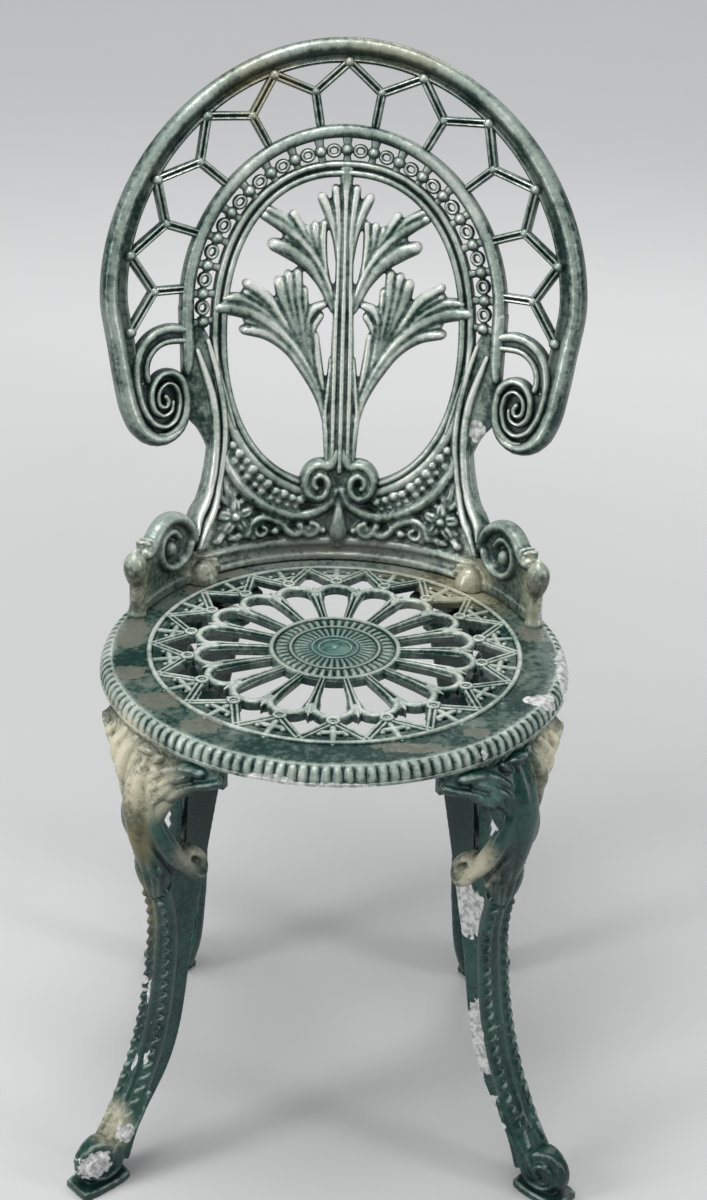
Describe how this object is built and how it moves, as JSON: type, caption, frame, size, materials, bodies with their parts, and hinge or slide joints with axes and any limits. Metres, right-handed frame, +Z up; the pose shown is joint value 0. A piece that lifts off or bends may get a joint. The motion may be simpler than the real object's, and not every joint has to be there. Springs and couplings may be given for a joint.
{
  "type": "bistro chair",
  "caption": "Round garden bistro chair of painted cast aluminium with a pierced seat, a horseshoe openwork back with a leaf spray, and scrolled cabriole legs.",
  "frame": {"origin": "under the middle of the chair's box, on the floor", "axes": "+Z up, -Y to the chair's front, +X to the right seen from the front"},
  "size_m": [0.4338, 0.472, 0.874],
  "materials": {
    "green_paint": "worn gloss",
    "zinc_steel": "dull zinc"
  },
  "bodies": {
    "root": {"seat": "green_paint", "back": "green_paint", "front_left_leg": "green_paint", "front_right_leg": "green_paint", "rear_left_leg": "green_paint", "rear_right_leg": "green_paint", "front_left_bolts": "zinc_steel", "front_left_washers": "zinc_steel", "front_left_spring_washers": "zinc_steel", "front_right_bolts": "zinc_steel", "front_right_washers": "zinc_steel", "front_right_spring_washers": "zinc_steel", "rear_left_bolts": "zinc_steel", "rear_left_washers": "zinc_steel", "rear_left_spring_washers": "zinc_steel", "rear_right_bolts": "zinc_steel", "rear_right_washers": "zinc_steel", "rear_right_spring_washers": "zinc_steel", "back_bolts": "zinc_steel", "back_washers": "zinc_steel", "back_spring_washers": "zinc_steel"}
  },
  "joints": []
}
